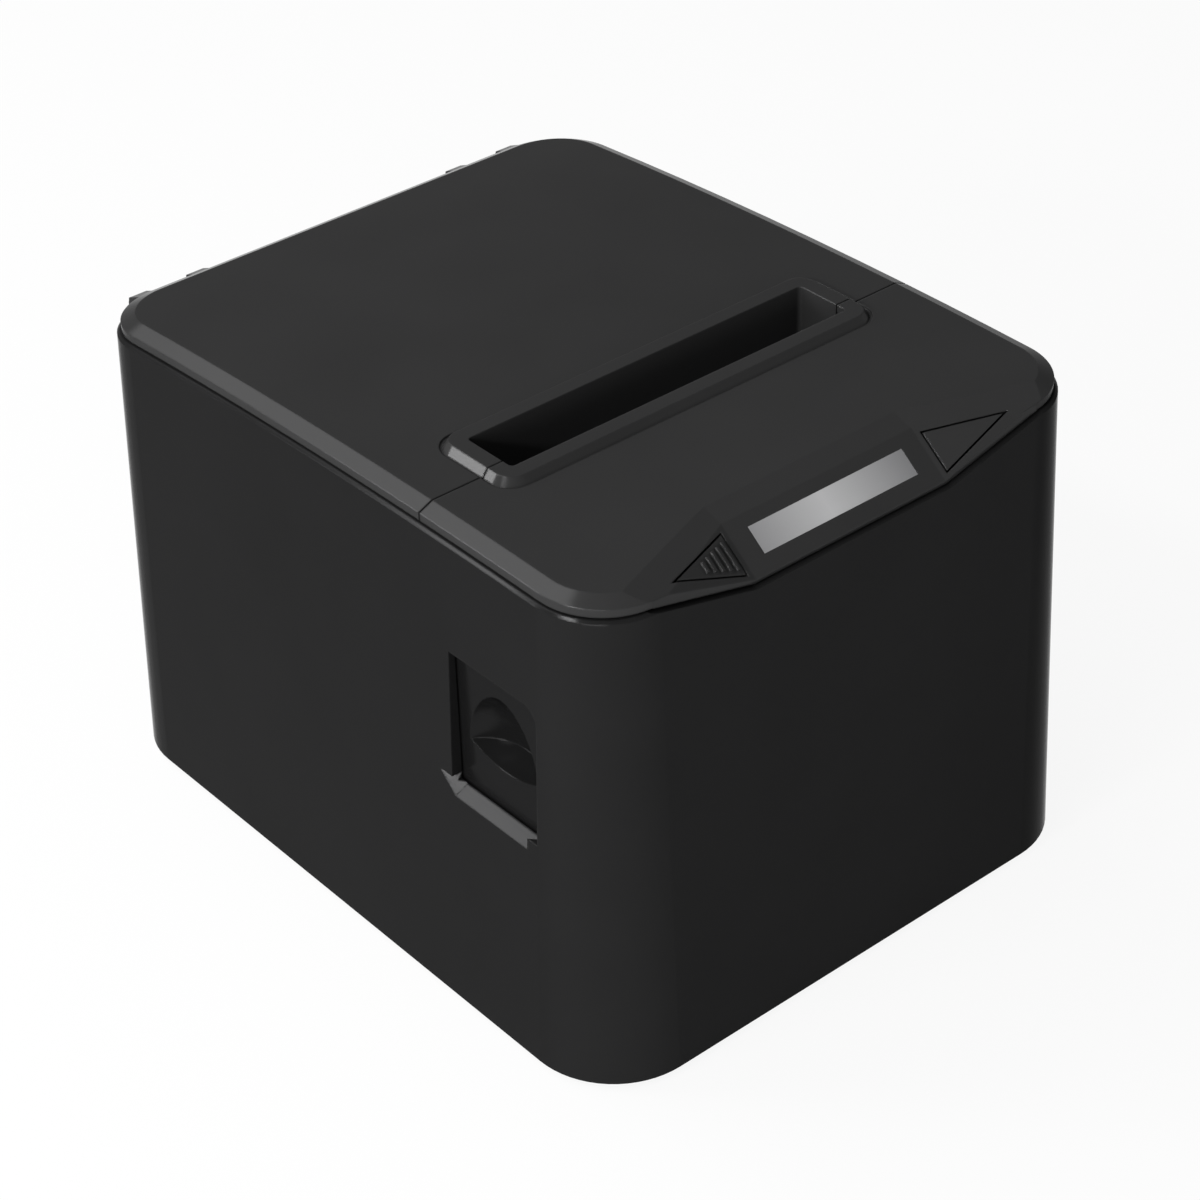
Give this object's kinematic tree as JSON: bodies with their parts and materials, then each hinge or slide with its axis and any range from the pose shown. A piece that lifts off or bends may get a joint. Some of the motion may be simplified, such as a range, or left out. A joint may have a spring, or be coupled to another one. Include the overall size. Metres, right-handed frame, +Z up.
{
  "type": "receipt printer",
  "caption": "Black desktop receipt printer with a clamshell lid, a paper slot in a raised rim, a folded front control panel and a side release key.",
  "frame": {"origin": "centre of the printer's footprint at the bottom of its feet", "axes": "+X to the printer's right as seen by someone facing its front, +Y to its rear, +Z up"},
  "size_m": [0.144, 0.18, 0.1217],
  "materials": {
    "case_plastic": "fine-grained satin",
    "top_plastic": "fine-grained satin",
    "foot_rubber": "matt",
    "screw_steel": "plain",
    "lens_plastic": "silver-backed, glossy",
    "bucket_plastic": "plain",
    "frame_steel": "zinc-plated",
    "shaft_steel": "ground",
    "blade_steel": "ground",
    "motor_steel": "plated",
    "gear_plastic": "plain",
    "platen_rubber": "ground",
    "head_ceramic": "glazed ceramic",
    "sink_aluminium": "plain",
    "board_laminate": "solder mask",
    "socket_metal": "tin-plated",
    "socket_plastic": "plain",
    "switch_plastic": "plain"
  },
  "bodies": {
    "base": {"main_housing": "case_plastic", "base_tray": "case_plastic", "rubber_foot_front_left": "foot_rubber", "rubber_foot_front_right": "foot_rubber", "rubber_foot_rear_left": "foot_rubber", "rubber_foot_rear_right": "foot_rubber", "case_screw_front_left": "screw_steel", "case_screw_front_right": "screw_steel", "case_screw_rear_left": "screw_steel", "case_screw_rear_right": "screw_steel", "front_cover": "top_plastic", "window_lens": "lens_plastic", "hinge_pin_left": "screw_steel", "hinge_pin_right": "screw_steel", "paper_bucket": "bucket_plastic", "mech_frame": "frame_steel", "idler_axle": "shaft_steel", "feed_motor": "motor_steel", "cutter_motor": "motor_steel", "head_pivot": "shaft_steel", "spring_bar": "frame_steel", "head_spring_left": "shaft_steel", "head_spring_right": "shaft_steel", "blade_guide_left": "bucket_plastic", "blade_guide_right": "bucket_plastic", "main_board": "board_laminate", "buzzer": "socket_plastic", "data_socket": "socket_metal", "network_socket": "socket_metal", "drawer_socket": "socket_plastic", "power_jack": "socket_plastic", "power_switch": "switch_plastic", "panel_board": "board_laminate", "key_switch_left": "socket_plastic", "key_switch_right": "socket_plastic", "near_end_sensor": "bucket_plastic"},
    "lid": {"paper_lid": "top_plastic", "platen_bracket": "frame_steel", "platen_bush_left": "gear_plastic", "platen_bush_right": "gear_plastic", "fixed_blade": "blade_steel"},
    "platen": {"platen_shaft": "shaft_steel", "platen_rubber": "platen_rubber", "platen_gear": "gear_plastic"},
    "idler": {"idler_gear": "gear_plastic"},
    "feed_drive": {"feed_pinion": "gear_plastic"},
    "blade": {"moving_blade": "blade_steel", "blade_rack_left": "blade_steel", "blade_rack_right": "blade_steel"},
    "cutter_drive_shaft": {"cutter_shaft": "shaft_steel", "cutter_gear": "gear_plastic"},
    "cutter_drive": {"cutter_pinion": "gear_plastic"},
    "release": {"release_key": "top_plastic"},
    "latch": {"latch_shaft": "frame_steel"},
    "left_key": {"feed_key": "top_plastic"},
    "right_key": {"plain_key": "top_plastic"},
    "head": {"print_head": "head_ceramic", "heat_sink": "sink_aluminium"},
    "rocker": {"power_rocker": "switch_plastic"}
  },
  "joints": [
    {"name": "lid_hinge", "type": "hinge", "parent": "base", "child": "lid", "pos_m": [0, 0.0883, 0.11022], "axis": [-1, 0, 0], "range_deg": [0, 85]},
    {"name": "platen_turn", "type": "hinge", "parent": "lid", "child": "platen", "pos_m": [0, -0.0114, 0.088], "axis": [1, 0, 0], "continuous": true},
    {"name": "idler_turn", "type": "hinge", "parent": "base", "child": "idler", "pos_m": [0.0544, -0.00653, 0.06614], "axis": [1, 0, 0], "continuous": true},
    {"name": "feed_pinion_turn", "type": "hinge", "parent": "base", "child": "feed_drive", "pos_m": [0.0544, -0.02102, 0.05354], "axis": [1, 0, 0], "continuous": true},
    {"name": "blade_slide", "type": "slide", "parent": "base", "child": "blade", "axis": [0, 1, 0], "range_m": [0, 0.01]},
    {"name": "cutter_shaft_turn", "type": "hinge", "parent": "base", "child": "cutter_drive_shaft", "pos_m": [0, -0.04, 0.0958], "axis": [1, 0, 0], "range_deg": [-120, 0]},
    {"name": "cutter_pinion_turn", "type": "hinge", "parent": "base", "child": "cutter_drive", "pos_m": [-0.0544, -0.05294, 0.08949], "axis": [1, 0, 0], "range_deg": [0, 240]},
    {"name": "release_slide", "type": "slide", "parent": "base", "child": "release", "axis": [0, 0, -1], "range_m": [0, 0.004], "stiffness_N_per_m": 600},
    {"name": "latch_turn", "type": "hinge", "parent": "base", "child": "latch", "pos_m": [0, -0.034, 0.07], "axis": [1, 0, 0], "range_deg": [0, 12.1]},
    {"name": "feed_key_press", "type": "slide", "parent": "base", "child": "left_key", "axis": [-0.2385, 0.5979, -0.7653], "range_m": [0, 0.0008], "stiffness_N_per_m": 1500},
    {"name": "plain_key_press", "type": "slide", "parent": "base", "child": "right_key", "axis": [0.2385, 0.5979, -0.7653], "range_m": [0, 0.0008], "stiffness_N_per_m": 1500},
    {"name": "head_swing", "type": "hinge", "parent": "base", "child": "head", "pos_m": [0, -0.01736, 0.07412], "axis": [1, 0, 0], "range_deg": [0, 3], "stiffness_Nm_per_rad": 4, "deforming": ["head_spring_left", "head_spring_right"]},
    {"name": "rocker_tilt", "type": "hinge", "parent": "base", "child": "rocker", "pos_m": [-0.042, 0.08525, 0.0235], "axis": [1, 0, 0], "range_deg": [0, 12]}
  ],
  "couplings": [
    {"joint": "idler_turn", "follows": "platen_turn", "ratio": -0.55556},
    {"joint": "feed_pinion_turn", "follows": "platen_turn", "ratio": 1.6667},
    {"joint": "cutter_shaft_turn", "follows": "blade_slide", "rad_per_m": -208.33},
    {"joint": "cutter_pinion_turn", "follows": "blade_slide", "rad_per_m": 416.67},
    {"joint": "latch_turn", "follows": "release_slide", "rad_per_m": 52.632}
  ]
}
